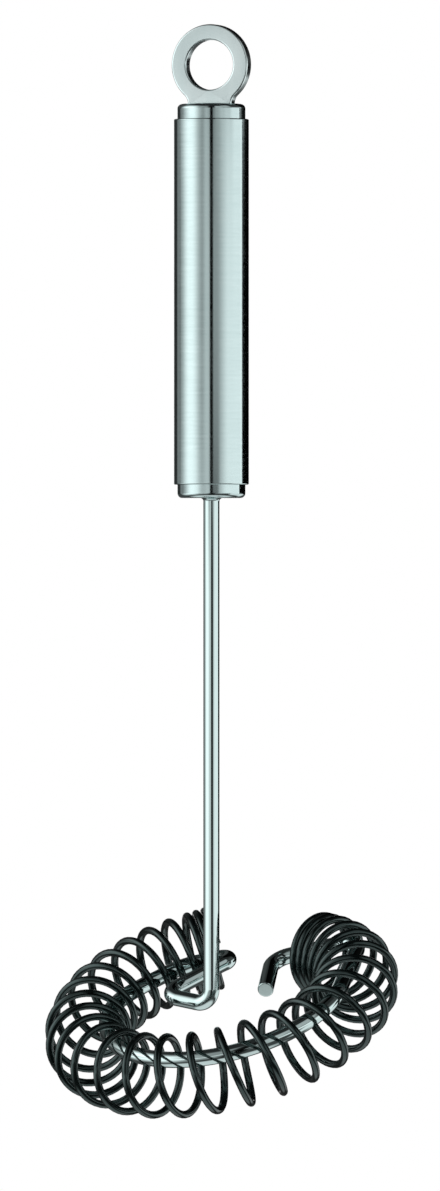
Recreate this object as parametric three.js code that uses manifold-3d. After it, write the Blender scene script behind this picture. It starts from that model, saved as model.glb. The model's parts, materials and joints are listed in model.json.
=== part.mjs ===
// Spiral whisk: a steel handle with a hanging eye, one bent wire, and a black coil spring on its ring.
// Millimetres, +Z up. The origin is the centre of the eye's hole, where the whisk hangs on its hook.
import * as THREE from 'three';
import { mergeVertices } from 'three/addons/utils/BufferGeometryUtils.js';
import Module from 'manifold-3d';

const { Vector2, Vector3 } = THREE;
const rad = THREE.MathUtils.degToRad;

// Fits
const FIT_GAP = 0.15;             // all round, between a plug and the bore that it sits in
const ROUND_SIDES = 48;           // facets of the handle's turned pieces

// Hanging eye
const EYE_OUTER_R = 10.0;
const EYE_HOLE_R = 6.15;
const EYE_THICKNESS = 3.1;
const EYE_EDGE = 0.45;            // rounding of the plate's edges
const EYE_TO_CAP = 9.4;           // hole's centre to the top of the cap
const NECK_WIDTH = 11.4;          // where the plate meets the cap
const TANG_WIDTH = 6.0;
const TANG_LENGTH = 13.0;         // below the top of the cap
const TANG_ROOT = 1.5;            // how far the tang runs up into the plate
const EYE_STEPS = 20;             // facets of each half round of the eye

// Handle
const TUBE_OUTER_R = 9.25;
const TUBE_WALL = 0.7;
const TUBE_LENGTH = 90.1;
const TUBE_EDGE = 0.25;           // broken edge at the tube's ends
const TOP_CAP_RISE = 4.0;         // how far the top cap stands out of the tube
const BOTTOM_CAP_RISE = 3.3;
const CAP_EDGE = 1.2;             // rounding of the caps' outer edges
const TOP_CAP_DOME = 0.25;        // crown of the top cap
const CAP_PLUG = 12.0;            // length of each cap inside the tube
const WELD_FILLET = 0.9;          // ring of weld where the wire leaves the bottom cap
const EDGE_STEPS = 4;             // facets of a rounded edge
const WELD_TOE = 15;              // degrees short of the wire where the weld's round stops

// Wire
const WIRE_R = 2.0;
const WIRE_SIDES = 12;
const WIRE_END_ABOVE_CAP = 3.0;   // wire standing past the plug, inside the tube
const BEND_STEP = 15;             // degrees of bend between two sections of the wire
const HEAD_DROP = 230.4;          // eye's hole down to the ring's centre
const RING_OFFSET_X = 4.3;        // ring's centre from the shaft
const RING_OFFSET_Y = -2.1;
const HEAD_TILT = 27.6;           // degrees that the ring's front hangs lower than its back
const HEAD_TURN = -9.3;           // degrees that the lean is turned from the eye's flat face
const RING_R = 29.9;
const RING_START = 146;           // degrees round the ring, counted from its right side
const RING_END = 374;
const RING_STEP = 8;              // degrees between two sections of the ring
const RING_DIP = 2.0;             // the ring's first stretch lies this much lower
const DIP_FLAT_TO = 150;
const DIP_GONE_AT = 195;

// Folded loop between the shaft and the ring, as corners in the ring's plane with their heights
const FOOT_HEIGHT = -1.9;         // where the shaft's line turns into the loop
const FOOT_BEND = 3.4;
const LOOP_LEFT_INSET = 11.3;     // the loop's left corner, from the ring inwards
const LOOP_LEFT_ANGLE = 174.4;    // and in degrees round the ring
const LOOP_LEFT_BEND = 3.0;

// Bight: the loop's last bend. The spring's end rests on it, and its first turn passes between its two sides.
const BIGHT_GAP = 0.65;           // between the wire's side and the strand
const BIGHT_IN_HEIGHT = -0.4;
const BIGHT_OUT_HEIGHT = -1.9;
const LEAD_IN = 5.0;              // from the corner before the ring to the ring's start
const LEAD_IN_BEND = 13.0;

// Open end: a straight arm, a bend inwards, and a short tip that points at the ring's front
const ARM_LENGTH = 25.2;
const ARM_BEND = 5.5;
const TIP_HEIGHT = -1.7;
const TIP_CORNER_INSET = 6.3;     // the tip's corner, from the ring inwards
const TIP_CORNER_ANGLE = 87.1;
const TIP_BEND = 4.5;
const TIP_END_INSET = 19.1;
const TIP_END_ANGLE = 50.3;

// Coil spring
const STRAND_R = 0.95;
const STRAND_SIDES = 6;
const COIL_R = 9.57;              // axis of the coil to the middle of its strand
const COIL_SETBACK = 4.2;         // the coil's axis runs this far outside the wire's ring
const SPRING_CENTRE = new Vector3(-0.9, -0.85, -1.7);   // from the ring's centre
const SPRING_START = 126.3;       // degrees where the coil's axis starts to follow the ring
const SPRING_ROUND = 255.2;       // degrees that it follows the ring
const END_BEND_R = 24.5;          // then it turns in more tightly, with the wire
const END_BEND = 50;              // degrees of that bend
const SPRING_TURNS = 29.8;
const START_CLOSE_TURNS = 2.05;   // turns at the bight that lie close, one behind the other
const START_OPENING_TURNS = 6.8;  // turns after them until the winding is fully open
const START_OPENING_POWER = 0.36; // below 1 the winding opens fast at first
const END_CLOSE_TURNS = 1.95;     // the same at the open end
const END_OPENING_TURNS = 4.8;
const END_OPENING_POWER = 0.6;
const CLOSE_GAP = 0.2;            // between two close turns
const START_PHASE = 300;          // degrees round the coil at which the strand begins, from its top
const INNER_SIDE = 270;           // the same where the coil is inside the ring
const TURN_STEPS = 14;

const steel = (name, color, roughness) =>
  new THREE.MeshStandardMaterial({ name, color, roughness, metalness: 1 });
const brushedSteel = steel('brushed_steel', 0xc3c9c7, 0.34);
const polishedSteel = steel('polished_steel', 0xd2d8d6, 0.14);
const blackCoating = new THREE.MeshStandardMaterial({
  name: 'black_coating', color: 0x141617, roughness: 0.42, metalness: 0.3,
});

const wasm = await Module();
wasm.setup();

// A closed geometry as a solid that can be joined and cut
function solid(geometry) {
  const bare = geometry.index ? geometry.toNonIndexed() : geometry.clone();
  bare.deleteAttribute('normal');
  bare.deleteAttribute('uv');
  const merged = mergeVertices(bare, 1e-4);
  return new wasm.Manifold(new wasm.Mesh({
    numProp: 3,
    vertProperties: new Float32Array(merged.attributes.position.array),
    triVerts: new Uint32Array(merged.index.array),
  }));
}

function geometryOf(manifold) {
  const mesh = manifold.getMesh();
  const geometry = new THREE.BufferGeometry();
  geometry.setAttribute('position', new THREE.BufferAttribute(new Float32Array(mesh.vertProperties), 3));
  geometry.setIndex(new THREE.BufferAttribute(new Uint32Array(mesh.triVerts), 1));
  geometry.computeVertexNormals();
  return geometry;
}

// A profile of (radius, height) turned about the Z axis
function turned(profile) {
  const geometry = new THREE.LatheGeometry(profile, ROUND_SIDES);
  return geometry.rotateX(Math.PI / 2);
}

function box(width, depth, height, x, y, z) {
  return new THREE.BoxGeometry(width, depth, height).translate(x, y, z);
}

// Points on a quarter round from one direction to the next, about a centre in the profile
function roundEdge(centre, radius, from, to) {
  return Array.from({ length: EDGE_STEPS + 1 }, (_, i) => {
    const a = rad(from + ((to - from) * i) / EDGE_STEPS);
    return new Vector2(centre.x + radius * Math.cos(a), centre.y + radius * Math.sin(a));
  });
}

// Levels down the handle
const capTop = -EYE_TO_CAP;
const tubeTop = capTop - TOP_CAP_RISE;
const tubeBottom = tubeTop - TUBE_LENGTH;
const capBottom = tubeBottom - BOTTOM_CAP_RISE;
const plugR = TUBE_OUTER_R - TUBE_WALL - FIT_GAP;

function hangingEye() {
  const half = NECK_WIDTH / 2;
  // The fillet is tangent to the ring's outside and upright where the neck meets the cap.
  const rise = EYE_TO_CAP - FIT_GAP;
  const fillet = (half ** 2 + rise ** 2 - EYE_OUTER_R ** 2) / (2 * (EYE_OUTER_R - half));
  const filletX = half + fillet;
  const meet = Math.atan2(-rise, filletX);
  const outline = new THREE.Shape();
  outline.moveTo(-half, -rise);
  outline.lineTo(half, -rise);
  outline.absarc(filletX, -rise, fillet, Math.PI, Math.PI + meet, true);
  outline.absarc(0, 0, EYE_OUTER_R, meet, Math.PI - meet, false);
  outline.absarc(-filletX, -rise, fillet, -meet, 0, true);
  const hole = new THREE.Path();
  hole.absarc(0, 0, EYE_HOLE_R, 0, 2 * Math.PI, false);
  outline.holes.push(hole);
  const plate = new THREE.ExtrudeGeometry(outline, {
    depth: EYE_THICKNESS - 2 * EYE_EDGE,
    bevelThickness: EYE_EDGE,
    bevelSize: EYE_EDGE,
    bevelOffset: -EYE_EDGE,
    bevelSegments: 2,
    curveSegments: EYE_STEPS,
  });
  plate.translate(0, 0, EYE_EDGE - EYE_THICKNESS / 2).rotateX(Math.PI / 2);
  const tangTop = capTop + TANG_ROOT;
  const tangBottom = capTop - TANG_LENGTH;
  const tang = box(
    TANG_WIDTH, EYE_THICKNESS - 2 * EYE_EDGE, tangTop - tangBottom, 0, 0, (tangTop + tangBottom) / 2,
  );
  return geometryOf(solid(plate).add(solid(tang)));
}

function topCap() {
  const foot = tubeTop - CAP_PLUG;
  const edge = new Vector2(plugR - CAP_EDGE, capTop - TOP_CAP_DOME - CAP_EDGE);
  const body = turned([
    new Vector2(0, foot),
    new Vector2(plugR, foot),
    ...roundEdge(edge, CAP_EDGE, 0, 90),
    new Vector2(0, capTop - FIT_GAP),
  ]);
  const slot = box(
    TANG_WIDTH + 2 * FIT_GAP, EYE_THICKNESS - 2 * EYE_EDGE + 2 * FIT_GAP, 2 * (CAP_PLUG + TOP_CAP_RISE),
    0, 0, capTop - (CAP_PLUG + TOP_CAP_RISE) / 2,
  );
  return geometryOf(solid(body).subtract(solid(slot)));
}

function handleTube() {
  const inner = TUBE_OUTER_R - TUBE_WALL;
  return turned([
    new Vector2(inner, tubeBottom),
    new Vector2(TUBE_OUTER_R - TUBE_EDGE, tubeBottom),
    new Vector2(TUBE_OUTER_R, tubeBottom + TUBE_EDGE),
    new Vector2(TUBE_OUTER_R, tubeTop - TUBE_EDGE),
    new Vector2(TUBE_OUTER_R - TUBE_EDGE, tubeTop),
    new Vector2(inner, tubeTop),
    new Vector2(inner, tubeBottom),
  ]);
}

function bottomCap() {
  const bore = WIRE_R + FIT_GAP;
  const head = tubeBottom + CAP_PLUG;
  const edge = new Vector2(plugR - CAP_EDGE, capBottom + CAP_EDGE);
  const weld = new Vector2(bore + WELD_FILLET, capBottom - WELD_FILLET);
  return turned([
    new Vector2(bore, head),
    new Vector2(bore, capBottom - WELD_FILLET),
    ...roundEdge(weld, WELD_FILLET, 180 - WELD_TOE, 90),
    ...roundEdge(edge, CAP_EDGE, -90, 0),
    new Vector2(plugR, head),
    new Vector2(bore, head),
  ]);
}

// The head's own frame: X to the right, Y to the raised back of the ring, Z square to the ring
const head = new THREE.Group();
head.position.set(RING_OFFSET_X, RING_OFFSET_Y, -HEAD_DROP);
head.rotation.set(rad(HEAD_TILT), 0, rad(HEAD_TURN), 'ZXY');
head.updateMatrixWorld(true);
const inPart = (point) => head.localToWorld(point.clone());

// A point of the shaft's line, at a height over the ring's plane
function onShaft(height) {
  const up = new Vector3(0, 0, 1).transformDirection(head.matrixWorld.clone().invert());
  const onAxis = head.worldToLocal(new Vector3(0, 0, -HEAD_DROP));
  return onAxis.addScaledVector(up, (height - onAxis.z) / up.z);
}

function ringPoint(degrees) {
  const a = rad(degrees);
  const dip = RING_DIP * (1 - THREE.MathUtils.smoothstep(degrees, DIP_FLAT_TO, DIP_GONE_AT));
  return new Vector3(RING_R * Math.cos(a), RING_R * Math.sin(a), -dip);
}

// A place inside the ring, from its distance to the ring
function inRing(inset, degrees, height) {
  const a = rad(degrees);
  return new Vector3((RING_R - inset) * Math.cos(a), (RING_R - inset) * Math.sin(a), height);
}

function ringTangent(degrees) {
  return new Vector3(-Math.sin(rad(degrees)), Math.cos(rad(degrees)), 0);
}

// Corners joined by straights, each corner rounded to its bend radius
function bentPath(corners) {
  const path = [];
  corners.forEach(({ at, bend }, i) => {
    if (!bend) {
      path.push(at);
      return;
    }
    const back = corners[i - 1].at.clone().sub(at).normalize();
    const ahead = corners[i + 1].at.clone().sub(at).normalize();
    const turn = Math.PI - back.angleTo(ahead);
    const centre = back.clone().add(ahead).normalize()
      .multiplyScalar(bend / Math.cos(turn / 2)).add(at);
    const first = back.clone().multiplyScalar(bend * Math.tan(turn / 2)).add(at).sub(centre);
    const axis = ahead.clone().cross(back).normalize();
    const steps = Math.ceil(THREE.MathUtils.radToDeg(turn) / BEND_STEP);
    for (let k = 0; k <= steps; k += 1) {
      path.push(first.clone().applyAxisAngle(axis, (turn * k) / steps).add(centre));
    }
  });
  return path;
}

// A closed round bar along a path, its section carried along without twist
function bar(path, radius, sides) {
  const count = path.length;
  const tangents = path.map((p, i) => {
    const before = path[Math.max(i - 1, 0)];
    const after = path[Math.min(i + 1, count - 1)];
    const arriving = p.clone().sub(before).normalize();
    const leaving = after.clone().sub(p).normalize();
    return arriving.add(leaving).normalize();
  });
  const positions = [];
  let normal = new Vector3(1, 0, 0).cross(tangents[0]).normalize();
  path.forEach((p, i) => {
    normal = normal.clone().addScaledVector(tangents[i], -normal.dot(tangents[i])).normalize();
    const side = tangents[i].clone().cross(normal);
    for (let k = 0; k < sides; k += 1) {
      const a = (2 * Math.PI * k) / sides;
      const q = p.clone().addScaledVector(normal, radius * Math.cos(a));
      positions.push(...q.addScaledVector(side, radius * Math.sin(a)).toArray());
    }
  });
  const faces = [];
  for (let i = 0; i + 1 < count; i += 1) {
    for (let k = 0; k < sides; k += 1) {
      const a = i * sides + k;
      const b = i * sides + ((k + 1) % sides);
      faces.push(a, b, a + sides, b, b + sides, a + sides);
    }
  }
  const last = (count - 1) * sides;
  for (let k = 1; k + 1 < sides; k += 1) {
    faces.push(0, k + 1, k, last, last + k, last + k + 1);
  }
  const geometry = new THREE.BufferGeometry();
  geometry.setAttribute('position', new THREE.Float32BufferAttribute(positions, 3));
  geometry.setIndex(faces);
  geometry.computeVertexNormals();
  return geometry;
}

// The coil's axis: close turns on a straight, open ones round the ring, a tighter bend, a straight again
const springR = RING_R + COIL_SETBACK;
const closePitch = 2 * STRAND_R + CLOSE_GAP;
const leadLength = START_CLOSE_TURNS * closePitch;
const roundLength = rad(SPRING_ROUND) * springR;
const bendLength = rad(END_BEND) * END_BEND_R;
const tailLength = END_CLOSE_TURNS * closePitch;
const outward = (angle) => new Vector3(Math.cos(angle), Math.sin(angle), 0);

// A point of that axis and the way out of the ring there, seen from the spring's own centre
function coilAxis(along) {
  const { clamp } = THREE.MathUtils;
  const lead = Math.min(along - leadLength, 0);
  const turned = clamp(along - leadLength, 0, roundLength) / springR;
  const bent = clamp(along - leadLength - roundLength, 0, bendLength) / END_BEND_R;
  const tail = Math.max(along - leadLength - roundLength - bendLength, 0);
  const at = rad(SPRING_START) + turned;
  const out = outward(at + bent);
  const point = outward(at).multiplyScalar(springR - END_BEND_R)
    .addScaledVector(out, END_BEND_R)
    .addScaledVector(outward(at + bent + Math.PI / 2), lead + tail);
  return { point, out };
}

// How far the winding has opened at a turn: 0 where it is close, 1 where it is fully open
function openShare(turns) {
  const fromStart = (turns - START_CLOSE_TURNS) / START_OPENING_TURNS;
  const fromEnd = (SPRING_TURNS - END_CLOSE_TURNS - turns) / END_OPENING_TURNS;
  const { clamp } = THREE.MathUtils;
  return clamp(fromStart, 0, 1) ** START_OPENING_POWER * clamp(fromEnd, 0, 1) ** END_OPENING_POWER;
}

const strandSteps = Math.round(SPRING_TURNS * TURN_STEPS);
const stepTurns = SPRING_TURNS / strandSteps;

// How far along the axis each section of the strand lies
function springLengths() {
  const shares = Array.from({ length: strandSteps }, (_, i) => openShare((i + 0.5) * stepTurns));
  const sum = shares.reduce((total, share) => total + share, 0);
  const spare = leadLength + roundLength + bendLength + tailLength - SPRING_TURNS * closePitch;
  const lengths = [0];
  shares.forEach((share, i) => lengths.push(lengths[i] + closePitch * stepTurns + (spare * share) / sum));
  return lengths;
}

// The strand's middle, seen from the spring's own centre
function springPath() {
  return springLengths().map((along, i) => {
    const round = 2 * Math.PI * i * stepTurns + rad(START_PHASE);
    const { point, out } = coilAxis(along);
    return point.addScaledVector(out, COIL_R * Math.sin(round)).setZ(COIL_R * Math.cos(round));
  });
}

// The bight bends about the place where the first whole turn crosses the ring's inner side.
function bightPath(from, to) {
  const turnsToCross = 1 + (INNER_SIDE - START_PHASE) / 360;
  const { point, out } = coilAxis(turnsToCross * closePitch);
  const held = point.addScaledVector(out, -COIL_R).add(SPRING_CENTRE);
  const centre = new Vector2(held.x, held.y);
  const radius = WIRE_R + STRAND_R + BIGHT_GAP;
  // Angles of the two points where a straight from outside touches the bend
  const touch = (corner, side) => {
    const away = new Vector2(corner.x, corner.y).sub(centre);
    return Math.atan2(away.y, away.x) + side * Math.acos(radius / away.length());
  };
  const first = touch(from, 1);
  const sweep = THREE.MathUtils.euclideanModulo(touch(to, -1) - first, 2 * Math.PI);
  const steps = Math.ceil(THREE.MathUtils.radToDeg(sweep) / BEND_STEP);
  return Array.from({ length: steps + 1 }, (_, i) => {
    const a = first + (sweep * i) / steps;
    const height = THREE.MathUtils.lerp(BIGHT_IN_HEIGHT, BIGHT_OUT_HEIGHT, i / steps);
    return new Vector3(centre.x + radius * Math.cos(a), centre.y + radius * Math.sin(a), height);
  });
}

function wirePath() {
  const ringCount = Math.round((RING_END - RING_START) / RING_STEP);
  const ring = Array.from({ length: ringCount + 1 }, (_, i) =>
    ringPoint(RING_START + ((RING_END - RING_START) * i) / ringCount));
  const loopLeft = inRing(LOOP_LEFT_INSET, LOOP_LEFT_ANGLE, 0);
  const leadIn = ring[0].clone().addScaledVector(ringTangent(RING_START), -LEAD_IN);
  const armEnd = ring[ringCount].clone().addScaledVector(ringTangent(RING_END), ARM_LENGTH);
  const corners = [
    { at: onShaft(FOOT_HEIGHT), bend: FOOT_BEND },
    { at: loopLeft, bend: LOOP_LEFT_BEND },
    ...bightPath(loopLeft, leadIn).map((at) => ({ at })),
    { at: leadIn, bend: LEAD_IN_BEND },
    ...ring.map((at) => ({ at })),
    { at: armEnd, bend: ARM_BEND },
    { at: inRing(TIP_CORNER_INSET, TIP_CORNER_ANGLE, TIP_HEIGHT), bend: TIP_BEND },
    { at: inRing(TIP_END_INSET, TIP_END_ANGLE, TIP_HEIGHT) },
  ].map(({ at, bend }) => ({ at: inPart(at), bend }));
  const top = new Vector3(0, 0, tubeBottom + CAP_PLUG + WIRE_END_ABOVE_CAP);
  return bentPath([{ at: top }, ...corners]);
}

// Least gap between the spring's strand and itself, on the points of its path
function leastSelfGap(path) {
  let least = Infinity;
  for (let i = 0; i < path.length; i += 1) {
    for (let j = i + TURN_STEPS / 2; j < path.length; j += 1) {
      least = Math.min(least, path[i].distanceTo(path[j]));
    }
  }
  return least - 2 * STRAND_R;
}

const coil = springPath();
console.log(`coil_spring least gap to itself: ${leastSelfGap(coil).toFixed(2)} mm`);

function piece(name, geometry, material) {
  const mesh = new THREE.Mesh(geometry, material);
  mesh.name = name;
  return mesh;
}

const spring = piece('coil_spring', bar(coil, STRAND_R, STRAND_SIDES), blackCoating);
spring.position.copy(SPRING_CENTRE);
head.add(spring);

const whisk = new THREE.Group();
whisk.add(
  piece('hanging_eye', hangingEye(), brushedSteel),
  piece('top_cap', topCap(), brushedSteel),
  piece('handle_tube', handleTube(), brushedSteel),
  piece('bottom_cap', bottomCap(), brushedSteel),
  piece('whisk_wire', bar(wirePath(), WIRE_R, WIRE_SIDES), polishedSteel),
  head,
);

export default whisk;
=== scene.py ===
"""Spiral whisk: brushed handle with a hanging eye, polished bent wire and a black coil spring."""

import json
import math

import bmesh
import bpy
from bpy.props import FloatProperty, FloatVectorProperty, IntProperty, PointerProperty
from mathutils import Matrix, Vector


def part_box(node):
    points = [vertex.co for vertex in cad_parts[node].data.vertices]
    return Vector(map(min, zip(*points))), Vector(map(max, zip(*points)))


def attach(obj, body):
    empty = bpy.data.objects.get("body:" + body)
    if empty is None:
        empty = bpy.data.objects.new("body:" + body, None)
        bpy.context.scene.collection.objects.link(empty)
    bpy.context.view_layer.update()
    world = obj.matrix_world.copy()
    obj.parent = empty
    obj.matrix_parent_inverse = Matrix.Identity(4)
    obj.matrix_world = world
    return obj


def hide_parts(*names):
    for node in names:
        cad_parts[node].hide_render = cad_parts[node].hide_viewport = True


bl_info = {
    "name": "Spiral Whisk",
    "version": (1, 0, 0),
    "blender": (4, 5, 0),
    "location": "View3D > Sidebar > Whisk",
    "description": "Builds a spiral whisk: a tube handle with an eye, a bent wire and a coil spring",
    "category": "Mesh",
}

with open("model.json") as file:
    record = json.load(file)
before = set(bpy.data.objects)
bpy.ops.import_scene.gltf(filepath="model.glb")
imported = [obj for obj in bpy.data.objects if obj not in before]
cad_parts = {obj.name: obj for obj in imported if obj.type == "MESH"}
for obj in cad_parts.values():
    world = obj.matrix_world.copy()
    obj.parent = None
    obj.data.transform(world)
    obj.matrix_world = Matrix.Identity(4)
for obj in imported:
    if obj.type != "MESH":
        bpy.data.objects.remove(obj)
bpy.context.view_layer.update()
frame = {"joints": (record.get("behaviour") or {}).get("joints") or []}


MM = 0.001
GRAIN = "grain"                  # attribute on the bars: place across the section, and length along it
SHARP = math.radians(40)         # edges with a harder turn than this are shown sharp
QUARTER = math.pi / 2
INNER_SIDE = math.radians(270)   # round the coil from its top to where it is inside the ring
EDGE_STEPS = 8                   # sections of a rounded edge
FILLET_STEPS = 8                 # sections of the fillets beside the eye's neck
EYE_STEPS = 90                   # sections of the eye's outside
EYE_EDGE_STEPS = 4               # sections of its rounded edges
CUT_STEPS = 3                    # sections of a bar's rounded cut ends
SAME_PLACE = 0.001 * MM          # vertices nearer than this are one
FLOOR_STEPS = 96                 # sections of the floor's rim
DOME_STEPS, DOME_RINGS = 96, 48  # sections of the light dome, round it and from pole to pole

# Marks of the finishes: how many lie on a metre along each of three directions
EYE_LINES = (200, 200, 60)
TUBE_LINES = (120, 120, 1600)
CAP_LINES = (300, 300, 2200)
STEEL_BLOTCHES = (90, 90, 60)
WIRE_LINES = (1500, 1500, 30)
WIRE_SMEARS = (200, 200, 60)
COATING_SPECKS = (2500, 2500, 2500)
COATING_PATCHES = (400, 400, 120)
# How fine each kind of mark goes, as detail of its noise
BRUSH_DETAIL, MARK_DETAIL, BLOTCH_DETAIL = 4.0, 3.0, 2.0
BRUSH_ROUGHNESS, PLAIN_ROUGHNESS = 0.65, 0.5
NOISE_LOW, NOISE_HIGH = 0.3, 0.7      # most of a noise's values lie between these
# What the marks do: to the colour, to the roughness and as relief
BRUSH_SHARE = 0.7                     # of the steel's change of colour; blotches make the rest
WIRE_SHADE, PATCH_LIGHT = 0.93, 1.8   # times the finish's own colour
BRUSH_GLOSS, BLOTCH_GLOSS, SMEAR_GLOSS, PATCH_GLOSS, SPECK_GLOSS = 0.04, 0.03, 0.03, 0.06, 0.03
MARK_DEPTH = 0.001 * MM
BRUSH_RELIEF, MARK_RELIEF = 0.2, 0.1

# The floor is matt up to one share of its radius, and white from the other on
FLOOR_MATT, FLOOR_WHITE = 0.4, 0.75
# The lamp's place, what it points at, and its width, in metres
LAMP_PLACE, LAMP_AIM, LAMP_SIZE = (-0.9, -1.0, 0.9), (0, 0, -0.2), 0.9

# Panels in the level band of the light dome: bearing to the right of the camera, half the width where the
# panel is full and where it is gone, all in degrees, and the light that it adds
SOFTBOXES = (
    (-68, 4, 40, 0.92),
    (-13, 2, 16, 0.28),
    (75, 20, 60, 0.66),
    (105.5, 3, 5, 0.25),
    (180, 8, 16, 0.6),
)
# Black flags in front of them, with the share of the light that each takes away
FLAGS = (
    (0, 3.5, 6.5, 1.0),
    (-120, 9, 14, 0.4),
    (-148, 16, 20, 0.92),
    (140, 30, 32, 1.0),
)
# A panel and a flag low in that band, which only the shaft mirrors: bearing and height, each with its two
# half widths, and the light
LOW_BOXES = ((-38, 10, 20, -5, 5, 6.5, 0.45),)
LOW_FLAGS = ((11, 9, 17, -6, 6.5, 8, 0.95),)
# Softboxes above and below the band, and black flags in front of them, written in the same way
TALL_BOXES = (
    (-80, 8, 52, 8, 10, 54, 1.5),
    (-26, 8, 18, 10, 28, 45, 0.25),
    (24, 8, 20, 16, 20, 34, 0.45),
    (54, 8, 22, 32, 16, 26, 0.42),
    (106, 28, 44, -10, 20, 30, 0.85),
    (0, 180, 190, 0, 36, 54, 0.04),
    (0, 180, 190, -90, 28, 46, 0.75),
)
TALL_FLAGS = (
    (2, 6, 14, 5, 38, 55, 0.9),
    (152, 26, 34, 45, 40, 46, 0.95),
)
BAND = (0, 5, 8)                 # height of the band, and its two half widths

# Places that the frame gives
EYE_LOW, EYE_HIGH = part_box("hanging_eye")
TUBE_LOW, TUBE_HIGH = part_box("handle_tube")
TOP_CAP_LOW, TOP_CAP_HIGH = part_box("top_cap")
BOTTOM_CAP_LOW, BOTTOM_CAP_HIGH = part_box("bottom_cap")
WIRE_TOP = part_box("whisk_wire")[1][2]
SLIDE = frame["joints"][0]
SPRING_CENTRE = Vector(SLIDE["pos_m"])
RING_AXIS = Vector(SLIDE["axis"]).normalized()
HEAD_RIGHT = Vector((0, 0, 1)).cross(RING_AXIS).normalized()
HEAD_BACK = RING_AXIS.cross(HEAD_RIGHT)


def length(name, millimetres, description):
    """A length that a user may change, given here in millimetres."""
    return FloatProperty(
        name=name, description=description, default=millimetres * MM, unit="LENGTH", precision=5
    )


def angle(name, degrees, description):
    """An angle that a user may change, given here in degrees."""
    return FloatProperty(
        name=name, description=description, default=math.radians(degrees), subtype="ANGLE"
    )


def place(name, millimetres, description):
    """A place in the ring's frame that a user may change, given here in millimetres."""
    return FloatVectorProperty(
        name=name, description=description, default=[part * MM for part in millimetres],
        size=3, subtype="TRANSLATION", precision=5,
    )


def colour(name, rgb, description):
    """A colour that a user may change."""
    return FloatVectorProperty(
        name=name, description=description, default=rgb, size=3, min=0, max=1, subtype="COLOR"
    )


def number(name, value, description):
    """A plain number that a user may change."""
    return FloatProperty(name=name, description=description, default=value)


def factor(name, value, description):
    """A share from 0 to 1 that a user may change."""
    return FloatProperty(
        name=name, description=description, default=value, min=0, max=1, subtype="FACTOR"
    )


class HandleSizes(bpy.types.PropertyGroup):
    """Sizes of the eye, the caps and the tube"""

    eye_radius: length("Eye radius", EYE_HIGH[0] / MM, "Outside of the hanging eye")
    hole_radius: length("Hole radius", 6.15, "Hole that the hook goes through")
    eye_thickness: length("Eye thickness", (EYE_HIGH[1] - EYE_LOW[1]) / MM, "Thickness of the eye")
    eye_edge: length("Eye edge", 0.45, "Rounding of the eye's edges")
    neck_width: length("Neck width", 11.4, "Width of the eye where it meets the cap")
    neck_seat: length("Neck seat", 0.4, "How far the neck is let into the cap")
    tube_radius: length("Tube radius", TUBE_HIGH[0] / MM, "Outside of the handle's tube")
    tube_wall: length("Tube wall", 0.7, "Thickness of the tube")
    tube_edge: length("Tube edge", 0.3, "Rounding of the tube's ends")
    cap_radius: length("Cap radius", TOP_CAP_HIGH[0] / MM, "Outside of both caps")
    cap_edge: length("Cap edge", 1.2, "Rounding of the caps' outer edges")
    cap_crown: length("Cap crown", 0.1, "Rise of the top cap's middle over its edge")
    weld: length("Weld", 0.9, "Ring of weld where the wire leaves the bottom cap")
    weld_bite: length("Weld bite", 0.05, "How far the weld goes into the wire")
    round_steps: IntProperty(
        name="Round steps", description="Sections of each turned piece", default=128, min=16
    )


class WireSizes(bpy.types.PropertyGroup):
    """Sizes of the bent wire"""

    radius: length("Wire radius", 2.0, "Half the wire's thickness")
    ring_radius: length("Ring radius", 29.9, "Middle of the wire on the ring")
    ring_start: angle("Ring start", 146, "Where the ring begins, from its right side")
    ring_end: angle("Ring end", 374, "Where the ring turns into the straight arm")
    ring_dip: length("Ring dip", 2.0, "How much lower the ring's first stretch lies")
    dip_flat_to: angle("Dip flat to", 150, "Where the ring starts to rise out of its dip")
    dip_gone_at: angle("Dip gone at", 195, "Where the ring is level again")
    foot_height: length("Foot height", -1.9, "Where the shaft's line turns into the loop")
    foot_bend: length("Foot bend", 3.4, "Bend radius at the shaft's foot")
    loop_inset: length("Loop inset", 11.3, "From the ring inwards to the folded loop's left corner")
    loop_angle: angle("Loop angle", 174.4, "That corner's place round the ring")
    loop_bend: length("Loop bend", 3.0, "Bend radius at the loop's left corner")
    bight_gap: length("Bight gap", 0.65, "Between the wire's side and the strand that it holds")
    bight_in_height: length("Bight in", -0.4, "Height of the wire where it enters the bight")
    bight_out_height: length("Bight out", -1.9, "Height of the wire where it leaves the bight")
    lead_in: length("Lead in", 5.0, "From the corner before the ring to the ring's start")
    lead_in_bend: length("Lead in bend", 13.0, "Bend radius of that corner")
    arm_length: length("Arm length", 25.2, "Straight arm at the ring's open end")
    arm_bend: length("Arm bend", 5.5, "Bend radius at the arm's end")
    tip_height: length("Tip height", -1.7, "Height of the tip over the ring's plane")
    tip_inset: length("Tip inset", 6.3, "From the ring inwards to the corner where the tip turns in")
    tip_angle: angle("Tip angle", 87.1, "That corner's place round the ring")
    tip_bend: length("Tip bend", 4.5, "Bend radius of that corner")
    tip_end_inset: length("Tip end inset", 19.1, "From the ring inwards to the tip's end")
    tip_end_angle: angle("Tip end angle", 50.3, "Place of the tip's end round the ring")
    end_edge: length("End edge", 0.35, "Rounding of the wire's cut end")
    bend_step: angle("Bend step", 5, "Bend between two sections of the wire")
    ring_step: angle("Ring step", 2.5, "Degrees between two sections of the ring")
    sides: IntProperty(name="Sides", description="Facets round the wire", default=32, min=6)


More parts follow.
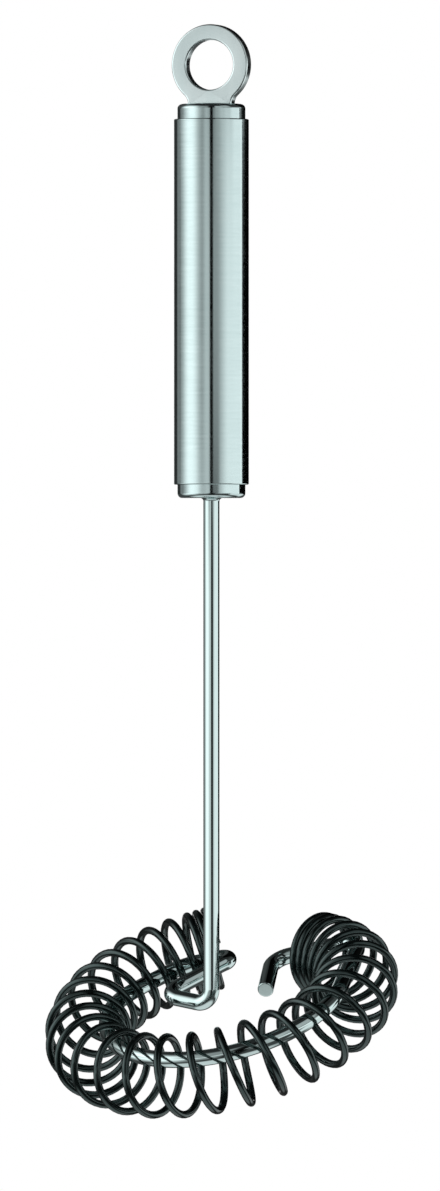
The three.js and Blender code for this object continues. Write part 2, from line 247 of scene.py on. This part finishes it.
class SpringSizes(bpy.types.PropertyGroup):
    """Sizes of the coil spring"""

    strand_radius: length("Strand radius", 0.95, "Half the strand's thickness")
    coil_radius: length("Coil radius", 9.57, "Axis of the coil to the middle of the strand")
    setback: length("Setback", 4.2, "How far outside the wire's ring the coil's axis runs")
    offset: place("Offset", (-0.9, -0.85, -1.7), "Spring's centre from the ring's centre")
    start: angle("Start", 126.3, "Where the coil's axis starts to follow the ring, from its right side")
    round: angle("Round", 255.2, "Degrees that it follows the ring")
    end_bend_radius: length("End bend radius", 24.5, "Tighter bend of the axis at the open end")
    end_bend: angle("End bend", 50, "Degrees of that bend")
    turns: number("Turns", 29.8, "Turns of the strand")
    start_close: number("Start close", 2.05, "Turns at the bight that lie close")
    start_opening: number("Start opening", 6.8, "Turns after them until the winding is fully open")
    start_power: number("Start power", 0.36, "Below 1 the winding opens fast at first")
    end_close: number("End close", 1.95, "Turns at the open end that lie close")
    end_opening: number("End opening", 4.8, "Turns before them from the fully open winding")
    end_power: number("End power", 0.6, "Below 1 the winding closes fast at last")
    close_gap: length("Close gap", 0.2, "Between two close turns")
    start_phase: angle("Start phase", 300, "Where the strand begins round the coil, from its top")
    end_edge: length("End edge", 0.2, "Rounding of the strand's cut ends")
    turn_steps: IntProperty(name="Turn steps", description="Sections of one turn", default=44, min=8)
    sides: IntProperty(name="Sides", description="Facets round the strand", default=14, min=5)


class Finishes(bpy.types.PropertyGroup):
    """Colours and gloss of the whisk's three finishes"""

    brushed: colour("Brushed steel", (0.64, 0.785, 0.785), "Colour of the handle's steel")
    brushed_dark: colour("Brush lines", (0.55, 0.69, 0.69), "Colour in the handle's brush lines")
    brushed_roughness: factor("Brushed roughness", 0.08, "Roughness of the handle's steel")
    # The eye's two colours are set brighter than the steel's own colour: painted light, standing in for
    # light that the eye's face reflects.
    satin_painted_light: colour("Satin steel", (0.88, 1.0, 1.0), "Colour of the eye's steel")
    satin_dark_painted_light: colour("Satin lines", (0.78, 0.93, 0.93), "Colour in the eye's brush lines")
    satin_roughness: factor("Satin roughness", 0.17, "Roughness of the eye's steel")
    polished: colour("Polished steel", (0.66, 0.81, 0.80), "Colour of the wire")
    polished_roughness: factor("Polished roughness", 0.05, "Roughness of the wire")
    coating: colour("Black coating", (0.0006, 0.0012, 0.0012), "Colour of the spring")
    coating_shine: factor("Coating shine", 1.0, "Strength of the spring's reflections")
    coating_tint: colour("Coating tint", (0.72, 1.0, 0.98), "Colour of the spring's reflections")
    coating_roughness: factor("Coating roughness", 0.11, "Roughness of the spring")


class StudioSizes(bpy.types.PropertyGroup):
    """The camera, the floor and the dome of light"""

    azimuth: angle("Camera azimuth", 20.5, "Direction that the camera looks from")
    distance: length("Camera distance", 3000, "From the shaft to the camera")
    camera_height: length("Camera height", -130.8, "Height of the camera and of the view's middle")
    camera_right: length("Camera right", 2.12, "How far the camera stands to the right of the shaft")
    view_height: length("View height", 293.6, "Height of the view at the shaft")
    floor_height: length("Floor height", -600, "Height of the floor under the hanging whisk")
    floor_radius: length("Floor radius", 2400, "Half the floor's width")
    dome_radius: length("Dome radius", 2000, "Half the width of the light dome")
    band_level: factor("Band level", 0.40, "Brightness of the dome's level band between its panels")
    dome_level: factor("Dome level", 0.025, "Brightness of the dome above and below that band")
    fill_level: factor("Fill level", 0.8, "Brightness of the sky that lights what is in shade")
    floor_colour: colour("Floor", (0.86, 0.87, 0.87), "Pale colour of the floor")
    top_power: FloatProperty(
        name="Top light", description="Power of the softbox over the floor", default=28.0, unit="POWER"
    )


class Socket:
    """A shader value that can be added, taken away and multiplied: each step adds a Math node."""

    def __init__(self, sheet, socket):
        self.sheet = sheet
        self.socket = socket

    def math(self, operation, first, second=0.0):
        """Any operation of the Math node, on values or numbers."""
        return self.sheet.node("ShaderNodeMath", {"operation": operation}, {0: first, 1: second})

    def __add__(self, other):
        return self.math("ADD", self, other)

    __radd__ = __add__

    def __sub__(self, other):
        return self.math("SUBTRACT", self, other)

    def __rsub__(self, other):
        return self.math("SUBTRACT", other, self)

    def __mul__(self, other):
        return self.math("MULTIPLY", self, other)

    __rmul__ = __mul__


class NodeSheet:
    """A node tree that is written as Python expressions."""

    def __init__(self, owner):
        owner.use_nodes = True
        self.owner = owner
        self.tree = owner.node_tree
        self.tree.nodes.clear()

    def node(self, kind, settings=None, inputs=None, out=0):
        """Adds a node: its settings first, then the values or links of its sockets."""
        made = self.tree.nodes.new(kind)
        for key, value in (settings or {}).items():
            setattr(made, key, value)
        for key, value in (inputs or {}).items():
            if isinstance(value, Socket):
                self.tree.links.new(value.socket, made.inputs[key])
            else:
                made.inputs[key].default_value = value
        return Socket(self, made.outputs[out]) if made.outputs else made

    def scaled(self, vector, by):
        """A vector with each part multiplied by its own number."""
        return self.node("ShaderNodeVectorMath", {"operation": "MULTIPLY"}, {0: vector, 1: by})

    def noise(self, vector, detail, roughness=PLAIN_ROUGHNESS):
        """Soft noise, one blotch for each unit of the vector, spread over 0 to 1."""
        plain = self.node("ShaderNodeTexNoise", {}, {
            "Vector": vector, "Scale": 1.0, "Detail": detail, "Roughness": roughness,
        })
        return self.node("ShaderNodeMapRange", {}, {
            "Value": plain, "From Min": NOISE_LOW, "From Max": NOISE_HIGH,
        })

    def mixed(self, share, first, second):
        """One colour turning into another."""
        return self.node(
            "ShaderNodeMix", {"data_type": "RGBA"}, {0: share, 6: (*first, 1), 7: (*second, 1)}, out=2
        )

    def relief(self, height, strength):
        """A bump as deep as the finishes' marks."""
        return self.node("ShaderNodeBump", {}, {
            "Height": height, "Distance": MARK_DEPTH, "Strength": strength,
        })

    def surface(self, shader):
        """The finished material."""
        self.node("ShaderNodeOutputMaterial", {}, {"Surface": shader})
        return self.owner


def brushed_steel(name, lines, roughness, light, dark):
    """Satin steel with fine lines. lines counts them per metre along X, Y and Z."""
    sheet = NodeSheet(bpy.data.materials.new(name))
    at = sheet.node("ShaderNodeTexCoord", out="Object")
    brush = sheet.noise(sheet.scaled(at, lines), BRUSH_DETAIL, BRUSH_ROUGHNESS)
    blotch = sheet.noise(sheet.scaled(at, STEEL_BLOTCHES), BLOTCH_DETAIL)
    tone = brush * BRUSH_SHARE + blotch * (1 - BRUSH_SHARE)
    return sheet.surface(sheet.node("ShaderNodeBsdfPrincipled", {}, {
        "Base Color": sheet.mixed(tone, dark, light),
        "Metallic": 1.0,
        "Roughness": roughness + (brush * BRUSH_GLOSS + blotch * BLOTCH_GLOSS),
        "Normal": sheet.relief(brush, BRUSH_RELIEF),
    }))


def polished_steel(name, finish):
    """Bright drawn wire, with faint marks along its length."""
    sheet = NodeSheet(bpy.data.materials.new(name))
    grain = sheet.node("ShaderNodeAttribute", {"attribute_name": GRAIN}, out="Vector")
    drawn = sheet.noise(sheet.scaled(grain, WIRE_LINES), MARK_DETAIL)
    smear = sheet.noise(sheet.scaled(grain, WIRE_SMEARS), BLOTCH_DETAIL)
    shade = [part * WIRE_SHADE for part in finish.polished]
    return sheet.surface(sheet.node("ShaderNodeBsdfPrincipled", {}, {
        "Base Color": sheet.mixed(drawn, shade, finish.polished),
        "Metallic": 1.0,
        "Roughness": finish.polished_roughness + smear * SMEAR_GLOSS,
        "Normal": sheet.relief(drawn, MARK_RELIEF),
    }))


def black_coating(name, finish):
    """Black satin coating, a little uneven, and thinner in places."""
    sheet = NodeSheet(bpy.data.materials.new(name))
    grain = sheet.node("ShaderNodeAttribute", {"attribute_name": GRAIN}, out="Vector")
    specks = sheet.noise(sheet.scaled(grain, COATING_SPECKS), MARK_DETAIL)
    patches = sheet.noise(sheet.scaled(grain, COATING_PATCHES), BLOTCH_DETAIL)
    light = [part * PATCH_LIGHT for part in finish.coating]
    return sheet.surface(sheet.node("ShaderNodeBsdfPrincipled", {}, {
        "Base Color": sheet.mixed(patches, finish.coating, light),
        "Specular IOR Level": finish.coating_shine,
        "Specular Tint": (*finish.coating_tint, 1),
        "Roughness": finish.coating_roughness + (patches * PATCH_GLOSS - specks * SPECK_GLOSS),
        "Normal": sheet.relief(specks, MARK_RELIEF),
    }))


class Pen:
    """Draws an outline in the plane of X and Z, stroke by stroke."""

    def __init__(self, x, z):
        self.bm = bmesh.new()
        self.first = self.tip = bmesh.ops.create_vert(self.bm, co=(x, 0, z))["vert"][0]

    def line(self, x, z):
        """A straight stroke to a place."""
        self.tip = bmesh.ops.extrude_vert_indiv(self.bm, verts=[self.tip])["verts"][0]
        bmesh.ops.translate(self.bm, verts=[self.tip], vec=Vector((x, 0, z)) - self.tip.co)
        return self

    def arc(self, x, z, turn, steps):
        """A round stroke about a centre, against the clock as seen from the front."""
        made = bmesh.ops.spin(
            self.bm, geom=[self.tip], cent=(x, 0, z), axis=(0, -1, 0), angle=turn, steps=steps
        )
        self.tip = made["geom_last"][0]
        return self

    def close(self):
        """Joins the last stroke to the first place."""
        bmesh.ops.contextual_create(self.bm, geom=[self.tip, self.first])
        return self

    def turned(self, steps):
        """Turns the outline about Z."""
        bmesh.ops.spin(
            self.bm, geom=self.bm.verts[:] + self.bm.edges[:], cent=(0, 0, 0), axis=(0, 0, 1),
            angle=2 * math.pi, steps=steps, use_merge=True,
        )
        bmesh.ops.remove_doubles(self.bm, verts=self.bm.verts, dist=SAME_PLACE)
        return self.bm


def finished(bm, name, material, node, body):
    """A mesh as a piece of the whisk, in the place of its frame node."""
    if not bm.faces or any(edge.is_boundary for edge in bm.edges):
        raise RuntimeError(f"{name} is not a closed shape")
    bmesh.ops.recalc_face_normals(bm, faces=bm.faces)
    mesh = bpy.data.meshes.new(name)
    bm.to_mesh(mesh)
    bm.free()
    mesh.polygons.foreach_set("use_smooth", [True] * len(mesh.polygons))
    mesh.set_sharp_from_angle(angle=SHARP)
    mesh.materials.append(material)
    piece = bpy.data.objects.new(name, mesh)
    bpy.context.scene.collection.objects.link(piece)
    flat = piece.modifiers.new("Flat faces stay flat", "WEIGHTED_NORMAL")
    flat.keep_sharp = True
    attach(piece, body)
    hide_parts(node)


def carried_frames(path):
    """A frame at each point of a path, square to it, twisted as little as can be."""
    frames = []
    side = Vector((1, 0, 0))
    for i, point in enumerate(path):
        arriving = (point - path[max(i - 1, 0)]).normalized()
        leaving = (path[min(i + 1, len(path) - 1)] - point).normalized()
        ahead = (arriving + leaving).normalized()
        side = (side - ahead * side.dot(ahead)).normalized()
        turn = Matrix((side, ahead.cross(side), ahead)).transposed().to_4x4()
        frames.append(Matrix.Translation(point) @ turn)
    return frames


def swept_bar(path, radius, sides, end_edge):
    """A round bar: a circle carried along a path, with both cut ends rounded off."""
    bm = bmesh.new()
    grain = bm.verts.layers.float_vector.new(GRAIN)
    frames = carried_frames(path)
    verts = bmesh.ops.create_circle(
        bm, cap_ends=True, segments=sides, radius=radius, matrix=frames[0]
    )["verts"]
    rim = bm.edges[:]
    along = 0.0
    for i, here in enumerate(frames):
        if i:
            along += (path[i] - path[i - 1]).length
            made = bmesh.ops.extrude_edge_only(bm, edges=rim)["geom"]
            verts = [part for part in made if isinstance(part, bmesh.types.BMVert)]
            rim = [part for part in made if isinstance(part, bmesh.types.BMEdge) and part.is_boundary]
            bmesh.ops.transform(bm, matrix=here @ frames[i - 1].inverted(), verts=verts)
        back = here.inverted()
        for vert in verts:
            across = back @ vert.co
            vert[grain] = (across.x, across.y, along)
    bmesh.ops.edgeloop_fill(bm, edges=rim)
    ends = [face for face in bm.faces if len(face.verts) == sides]
    bmesh.ops.bevel(
        bm, geom=list({edge for face in ends for edge in face.edges}), offset=end_edge,
        offset_type="OFFSET", segments=CUT_STEPS, profile=0.5, affect="EDGES", material=-1,
    )
    return bm


def smoothstep(value, low, high):
    """Rises from 0 at low to 1 at high."""
    share = min(max((value - low) / (high - low), 0), 1)
    return share * share * (3 - 2 * share)


def polar(radius, bearing, height=0.0):
    """A place in the ring's frame, from its distance and bearing."""
    return Vector((radius * math.cos(bearing), radius * math.sin(bearing), height))


def rounded_path(corners, step):
    """Corners joined by straights. Each corner with a bend radius is rounded to it."""
    path = []
    for i, (at, bend) in enumerate(corners):
        if not bend:
            path.append(at)
            continue
        back = (corners[i - 1][0] - at).normalized()
        ahead = (corners[i + 1][0] - at).normalized()
        turn = math.pi - back.angle(ahead)
        centre = at + (back + ahead).normalized() * (bend / math.cos(turn / 2))
        first = at + back * (bend * math.tan(turn / 2)) - centre
        steps = math.ceil(turn / step)
        for k in range(steps + 1):
            path.append(centre + Matrix.Rotation(turn * k / steps, 3, ahead.cross(back)) @ first)
    return path


def close_pitch(spring):
    """Length of the coil's axis that one close turn takes."""
    return 2 * spring.strand_radius + spring.close_gap


def coil_axis(along, wire, spring):
    """A point of the coil's axis and the way out of the ring there, seen from the spring's centre.

    The close turns lie on a straight, the open ones round the ring; a tighter bend and a straight follow.
    """
    radius = wire.ring_radius + spring.setback
    bend = spring.end_bend_radius
    past_lead = along - spring.start_close * close_pitch(spring)
    past_round = past_lead - spring.round * radius
    past_bend = past_round - spring.end_bend * bend
    at = spring.start + min(max(past_lead / radius, 0), spring.round)
    facing = at + min(max(past_round / bend, 0), spring.end_bend)
    straight = min(past_lead, 0) + max(past_bend, 0)
    point = polar(radius - bend, at) + polar(bend, facing) + polar(straight, facing + QUARTER)
    return point, polar(1, facing)


def bight_places(wire, spring, loop_left, lead_in):
    """The wire's tight bend round the spring's first whole turn."""
    turns_to_cross = 1 + (INNER_SIDE - spring.start_phase) / (2 * math.pi)
    point, out = coil_axis(turns_to_cross * close_pitch(spring), wire, spring)
    held = point - out * spring.coil_radius + Vector(spring.offset)
    radius = wire.radius + spring.strand_radius + wire.bight_gap

    def touch(corner, side):
        reach = Vector((corner.x - held.x, corner.y - held.y))
        return math.atan2(reach.y, reach.x) + side * math.acos(radius / reach.length)

    start = touch(loop_left, 1)
    sweep = (touch(lead_in, -1) - start) % (2 * math.pi)
    steps = math.ceil(sweep / wire.bend_step)
    for k in range(steps + 1):
        height = wire.bight_in_height + (wire.bight_out_height - wire.bight_in_height) * k / steps
        yield polar(radius, start + sweep * k / steps, height) + Vector((held.x, held.y, 0))


def wire_path(wire, spring):
    """The middle of the wire, from its end inside the handle to its tip inside the ring."""
    ring_centre = SPRING_CENTRE - (
        HEAD_RIGHT * spring.offset[0] + HEAD_BACK * spring.offset[1] + RING_AXIS * spring.offset[2]
    )

    def on_whisk(at):
        return ring_centre + HEAD_RIGHT * at[0] + HEAD_BACK * at[1] + RING_AXIS * at[2]

    def on_ring(bearing):
        dip = 1 - smoothstep(bearing, wire.dip_flat_to, wire.dip_gone_at)
        return polar(wire.ring_radius, bearing, -wire.ring_dip * dip)

    def in_ring(inset, bearing, height=0.0):
        return polar(wire.ring_radius - inset, bearing, height)

    # The shaft's line, where it is foot_height over the ring's plane
    foot = Vector((0, 0, (wire.foot_height + ring_centre.dot(RING_AXIS)) / RING_AXIS.z))
    steps = round((wire.ring_end - wire.ring_start) / wire.ring_step)
    ring = [
        on_ring(wire.ring_start + (wire.ring_end - wire.ring_start) * k / steps)
        for k in range(steps + 1)
    ]
    loop_left = in_ring(wire.loop_inset, wire.loop_angle)
    lead_in = ring[0] - polar(wire.lead_in, wire.ring_start + QUARTER)
    arm_end = ring[-1] + polar(wire.arm_length, wire.ring_end + QUARTER)
    corners = [
        (loop_left, wire.loop_bend),
        *((at, 0) for at in bight_places(wire, spring, loop_left, lead_in)),
        (lead_in, wire.lead_in_bend),
        *((at, 0) for at in ring),
        (arm_end, wire.arm_bend),
        (in_ring(wire.tip_inset, wire.tip_angle, wire.tip_height), wire.tip_bend),
        (in_ring(wire.tip_end_inset, wire.tip_end_angle, wire.tip_height), 0),
    ]
    top = Vector((0, 0, WIRE_TOP))
    return rounded_path(
        [(top, 0), (foot, wire.foot_bend), *((on_whisk(at), bend) for at, bend in corners)],
        wire.bend_step,
    )


def open_share(turn, spring):
    """How far the winding has opened at a turn: 0 where it is close, 1 where it is fully open."""
    from_start = (turn - spring.start_close) / spring.start_opening
    from_end = (spring.turns - spring.end_close - turn) / spring.end_opening
    return min(max(from_start, 0), 1) ** spring.start_power * min(max(from_end, 0), 1) ** spring.end_power


def spring_path(wire, spring):
    """The middle of the strand: close turns at both ends, open ones between them."""
    close = close_pitch(spring)
    steps = round(spring.turns * spring.turn_steps)
    turn = spring.turns / steps
    shares = [open_share((i + 0.5) * turn, spring) for i in range(steps)]
    whole = (spring.start_close + spring.end_close) * close + spring.end_bend * spring.end_bend_radius
    whole += spring.round * (wire.ring_radius + spring.setback)
    more = (whole - spring.turns * close) / sum(shares)
    path = []
    along = 0.0
    for i, share in enumerate([*shares, 0]):
        about = 2 * math.pi * i * turn + spring.start_phase
        point, out = coil_axis(along, wire, spring)
        at = point + out * spring.coil_radius * math.sin(about)
        up = spring.coil_radius * math.cos(about)
        path.append(SPRING_CENTRE + HEAD_RIGHT * at.x + HEAD_BACK * at.y + RING_AXIS * up)
        along += close * turn + more * share
    return path


def eye_mesh(sizes):
    """The eye's plate with its hole, and the neck that stands in the cap."""
    rise = -TOP_CAP_HIGH[2]
    half = sizes.neck_width / 2
    # Each fillet touches the eye's outside and stands upright where the neck meets the cap
    fillet = (half ** 2 + rise ** 2 - sizes.eye_radius ** 2) / (2 * (sizes.eye_radius - half))
    meet = math.atan2(-rise, half + fillet)
    pen = Pen(half, -rise - sizes.neck_seat)
    pen.line(half, -rise)
    pen.arc(half + fillet, -rise, meet, FILLET_STEPS)
    pen.arc(0, 0, math.pi - 2 * meet, EYE_STEPS)
    pen.arc(-half - fillet, -rise, meet, FILLET_STEPS)
    pen.line(-half, -rise - sizes.neck_seat)
    pen.close()
    bm = pen.bm
    bmesh.ops.create_circle(
        bm, segments=len(bm.edges), radius=sizes.hole_radius,
        matrix=Matrix.Rotation(QUARTER, 4, "X"),
    )
    bmesh.ops.bridge_loops(bm, edges=bm.edges[:])
    back = bmesh.ops.extrude_face_region(bm, geom=bm.faces[:])["geom"]
    bmesh.ops.translate(
        bm, verts=[part for part in back if isinstance(part, bmesh.types.BMVert)],
        vec=(0, sizes.eye_thickness, 0),
    )
    bmesh.ops.translate(bm, verts=bm.verts, vec=(0, -sizes.eye_thickness / 2, 0))
    bmesh.ops.recalc_face_normals(bm, faces=bm.faces)
    rims = [edge for edge in bm.edges if edge.calc_face_angle(0) > SHARP]
    bmesh.ops.bevel(
        bm, geom=rims, offset=sizes.eye_edge, offset_type="OFFSET", segments=EYE_EDGE_STEPS,
        profile=0.5, affect="EDGES", material=-1,
    )
    return bm


def tube_mesh(sizes):
    """The tube, with the outer edges of its ends rounded."""
    low, high = TUBE_LOW[2], TUBE_HIGH[2]
    inner = sizes.tube_radius - sizes.tube_wall
    edge = sizes.tube_edge
    pen = Pen(inner, low).line(sizes.tube_radius - edge, low)
    pen.arc(sizes.tube_radius - edge, low + edge, QUARTER, EDGE_STEPS)
    pen.line(sizes.tube_radius, high - edge)
    pen.arc(sizes.tube_radius - edge, high - edge, QUARTER, EDGE_STEPS)
    return pen.line(inner, high).close().turned(sizes.round_steps)


def top_cap_mesh(sizes):
    """The cap under the eye, a little crowned."""
    low, high = TOP_CAP_LOW[2], TOP_CAP_HIGH[2]
    edge = sizes.cap_edge
    pen = Pen(0, low).line(sizes.cap_radius, low).line(sizes.cap_radius, high - sizes.cap_crown - edge)
    pen.arc(sizes.cap_radius - edge, high - sizes.cap_crown - edge, QUARTER, EDGE_STEPS)
    return pen.line(0, high).turned(sizes.round_steps)


def bottom_cap_mesh(sizes, wire):
    """The cap that the wire leaves through, with a ring of weld round the wire."""
    low, high = BOTTOM_CAP_LOW[2] + sizes.weld, BOTTOM_CAP_HIGH[2]
    edge = sizes.cap_edge
    bore = wire.radius - sizes.weld_bite
    pen = Pen(bore, high).line(bore, low - sizes.weld)
    pen.arc(bore + sizes.weld, low - sizes.weld, -QUARTER, EDGE_STEPS)
    pen.line(sizes.cap_radius - edge, low)
    pen.arc(sizes.cap_radius - edge, low + edge, QUARTER, EDGE_STEPS)
    return pen.line(sizes.cap_radius, high).close().turned(sizes.round_steps)


def staged(bm, name, material):
    """A mesh as a thing of the studio, not of the whisk."""
    mesh = bpy.data.meshes.new(name)
    bm.to_mesh(mesh)
    bm.free()
    mesh.materials.append(material)
    thing = bpy.data.objects.new(name, mesh)
    bpy.context.scene.collection.objects.link(thing)
    return thing


def floor_material(studio):
    """Pale matt floor that turns into the white of the background at its rim."""
    sheet = NodeSheet(bpy.data.materials.new("studio_floor"))
    at = sheet.node("ShaderNodeTexCoord", out="Object")
    reach = sheet.node("ShaderNodeVectorMath", {"operation": "LENGTH"}, {0: at}, out="Value")
    rim = sheet.node("ShaderNodeMapRange", {"interpolation_type": "SMOOTHSTEP"}, {
        "Value": reach,
        "From Min": FLOOR_MATT * studio.floor_radius, "From Max": FLOOR_WHITE * studio.floor_radius,
    })
    matt = sheet.node("ShaderNodeBsdfDiffuse", {}, {"Color": (*studio.floor_colour, 1)})
    white = sheet.node("ShaderNodeEmission", {}, {"Strength": 1.0})
    return sheet.surface(sheet.node("ShaderNodeMixShader", {}, {0: rim, 1: matt, 2: white}))


def dome_material(studio):
    """A dome of light: a level band with panels and black flags, and softboxes above and below it."""
    sheet = NodeSheet(bpy.data.materials.new("studio_dome"))
    at = sheet.node("ShaderNodeTexCoord", out="Object")
    way = sheet.node("ShaderNodeVectorMath", {"operation": "NORMALIZE"}, {0: at})
    right, away, up = (sheet.node("ShaderNodeSeparateXYZ", {}, {0: way}, out=axis) for axis in "XYZ")
    bearing = right.math("ARCTAN2", right, away * -1.0)
    height = up.math("ARCSINE", up)

    def share(value, middle, full, gone):
        # The cosine and back again: how far apart two bearings are, whichever way round
        turned = value.math("COSINE", value - math.radians(middle))
        return sheet.node("ShaderNodeMapRange", {"interpolation_type": "SMOOTHSTEP"}, {
            "Value": turned.math("ARCCOSINE", turned),
            "From Min": math.radians(gone), "From Max": math.radians(full),
        })

    def patch(where):
        across, upright = where[:3], where[3:]
        strip = share(bearing, *across)
        return strip * share(height, *upright) if upright else strip

    def lit(level, boxes, flags):
        for *where, gain in boxes:
            level = level + patch(where) * gain
        for *where, loss in flags:
            level = level * (1.0 - patch(where) * loss)
        return level

    level = lit(lit(studio.band_level, SOFTBOXES, FLAGS), LOW_BOXES, LOW_FLAGS)
    tall = lit(studio.dome_level, TALL_BOXES, TALL_FLAGS)
    band = share(height, *BAND)
    level = level * band + tall * (1.0 - band)
    return sheet.surface(sheet.node("ShaderNodeEmission", {}, {"Color": level, "Strength": 1.0}))


def light_world(studio):
    """White behind everything that is seen, and an even sky for what is in shade."""
    sheet = NodeSheet(bpy.context.scene.world or bpy.data.worlds.new("World"))
    seen = sheet.node("ShaderNodeLightPath", out="Is Camera Ray")
    for kind in ("Is Glossy Ray", "Is Transmission Ray"):
        seen = seen.math("MAXIMUM", seen, sheet.node("ShaderNodeLightPath", out=kind))
    back = sheet.node("ShaderNodeBackground", {}, {
        "Color": (1, 1, 1, 1), "Strength": studio.fill_level + seen * (1.0 - studio.fill_level),
    })
    sheet.node("ShaderNodeOutputWorld", {}, {"Surface": back})
    bpy.context.scene.world = sheet.owner


def add_lamp(studio):
    """A square softbox, which the steel doesn't mirror."""
    light = bpy.data.lights.new("top_softbox", "AREA")
    light.shape = "SQUARE"
    light.size = LAMP_SIZE
    light.energy = studio.top_power
    lamp = bpy.data.objects.new("top_softbox", light)
    lamp.location = LAMP_PLACE
    lamp.rotation_euler = (Vector(LAMP_AIM) - lamp.location).to_track_quat("-Z", "Y").to_euler()
    lamp.visible_glossy = False
    bpy.context.scene.collection.objects.link(lamp)


def add_camera(studio):
    """The camera, level, looking at the shaft from its azimuth."""
    lens = bpy.data.cameras.new("Camera")
    lens.lens = lens.sensor_width * studio.distance / studio.view_height
    camera = bpy.data.objects.new("Camera", lens)
    turn = Matrix.Rotation(studio.azimuth, 4, "Z")
    camera.location = turn @ Vector((studio.camera_right, -studio.distance, studio.camera_height))
    camera.rotation_euler = (QUARTER, 0, studio.azimuth)
    bpy.context.scene.collection.objects.link(camera)
    bpy.context.scene.camera = camera


class WHISK_OT_eye(bpy.types.Operator):
    """Makes the hanging eye"""

    bl_idname = "whisk.eye"
    bl_label = "Make the Eye"

    def execute(self, context):
        scene = context.scene
        finish = scene.whisk_finish
        # The eye gets the brightened colours, which paint light onto its face.
        steel = brushed_steel(
            "eye_steel", EYE_LINES, finish.satin_roughness, finish.satin_painted_light, finish.satin_dark_painted_light
        )
        finished(eye_mesh(scene.whisk_handle), "eye", steel, "hanging_eye", "handle")
        return {"FINISHED"}


class WHISK_OT_tube(bpy.types.Operator):
    """Makes the handle's tube"""

    bl_idname = "whisk.tube"
    bl_label = "Make the Tube"

    def execute(self, context):
        scene = context.scene
        finish = scene.whisk_finish
        steel = brushed_steel(
            "tube_steel", TUBE_LINES, finish.brushed_roughness, finish.brushed, finish.brushed_dark
        )
        finished(tube_mesh(scene.whisk_handle), "tube", steel, "handle_tube", "handle")
        return {"FINISHED"}


class WHISK_OT_caps(bpy.types.Operator):
    """Makes the two caps of the handle"""

    bl_idname = "whisk.caps"
    bl_label = "Make the Caps"

    def execute(self, context):
        scene = context.scene
        finish = scene.whisk_finish
        steel = brushed_steel(
            "cap_steel", CAP_LINES, finish.brushed_roughness, finish.brushed, finish.brushed_dark
        )
        finished(top_cap_mesh(scene.whisk_handle), "cap_top", steel, "top_cap", "handle")
        finished(bottom_cap_mesh(scene.whisk_handle, scene.whisk_wire), "cap_bottom", steel,
                 "bottom_cap", "handle")
        return {"FINISHED"}


class WHISK_OT_wire(bpy.types.Operator):
    """Makes the bent wire: shaft, folded loop, ring and tip"""

    bl_idname = "whisk.wire"
    bl_label = "Make the Wire"

    def execute(self, context):
        scene = context.scene
        wire = scene.whisk_wire
        bar = swept_bar(wire_path(wire, scene.whisk_spring), wire.radius, wire.sides, wire.end_edge)
        steel = polished_steel("wire_steel", scene.whisk_finish)
        finished(bar, "wire", steel, "whisk_wire", "handle")
        return {"FINISHED"}


class WHISK_OT_spring(bpy.types.Operator):
    """Makes the coil spring round the ring"""

    bl_idname = "whisk.spring"
    bl_label = "Make the Spring"

    def execute(self, context):
        scene = context.scene
        spring = scene.whisk_spring
        bar = swept_bar(
            spring_path(scene.whisk_wire, spring), spring.strand_radius, spring.sides, spring.end_edge
        )
        coating = black_coating("spring_coating", scene.whisk_finish)
        finished(bar, "spring_strand", coating, "coil_spring", "spring")
        return {"FINISHED"}


class WHISK_OT_stage(bpy.types.Operator):
    """Sets up the floor, the lights, the background and the camera"""

    bl_idname = "whisk.stage"
    bl_label = "Set the Stage"

    def execute(self, context):
        studio = context.scene.whisk_studio
        bm = bmesh.new()
        bmesh.ops.create_circle(bm, cap_ends=True, segments=FLOOR_STEPS, radius=studio.floor_radius)
        ground = staged(bm, "floor", floor_material(studio))
        ground.location.z = studio.floor_height
        ground.visible_glossy = False

        bm = bmesh.new()
        bmesh.ops.create_uvsphere(
            bm, u_segments=DOME_STEPS, v_segments=DOME_RINGS, radius=studio.dome_radius
        )
        dome = staged(bm, "light_dome", dome_material(studio))
        dome.location.z = studio.camera_height
        dome.rotation_euler.z = studio.azimuth
        dome.visible_camera = dome.visible_shadow = False

        add_lamp(studio)
        light_world(studio)
        add_camera(studio)
        context.scene.view_settings.view_transform = "Standard"
        return {"FINISHED"}


class WHISK_PT_panel(bpy.types.Panel):
    """Sizes, finishes and buttons of the whisk"""

    bl_label = "Spiral Whisk"
    bl_idname = "WHISK_PT_panel"
    bl_space_type = "VIEW_3D"
    bl_region_type = "UI"
    bl_category = "Whisk"

    def draw(self, context):
        for name in GROUPS:
            group = getattr(context.scene, name)
            column = self.layout.box().column()
            for key in group.__annotations__:
                column.prop(group, key)
        for operator in OPERATORS:
            self.layout.operator(operator.bl_idname)


GROUPS = {
    "whisk_handle": HandleSizes,
    "whisk_wire": WireSizes,
    "whisk_spring": SpringSizes,
    "whisk_finish": Finishes,
    "whisk_studio": StudioSizes,
}
OPERATORS = (WHISK_OT_eye, WHISK_OT_tube, WHISK_OT_caps, WHISK_OT_wire, WHISK_OT_spring, WHISK_OT_stage)


def register():
    """Makes the whisk's sizes, buttons and panel known."""
    for name, group in GROUPS.items():
        bpy.utils.register_class(group)
        setattr(bpy.types.Scene, name, PointerProperty(type=group))
    for kind in (*OPERATORS, WHISK_PT_panel):
        bpy.utils.register_class(kind)


def unregister():
    """Takes them away again."""
    for kind in (WHISK_PT_panel, *reversed(OPERATORS)):
        bpy.utils.unregister_class(kind)
    for name, group in GROUPS.items():
        delattr(bpy.types.Scene, name)
        bpy.utils.unregister_class(group)


def main():
    """Builds the whisk and its studio."""
    register()
    bpy.ops.whisk.eye()
    bpy.ops.whisk.tube()
    bpy.ops.whisk.caps()
    bpy.ops.whisk.wire()
    bpy.ops.whisk.spring()
    bpy.ops.whisk.stage()


if __name__ == "__main__":
    main()
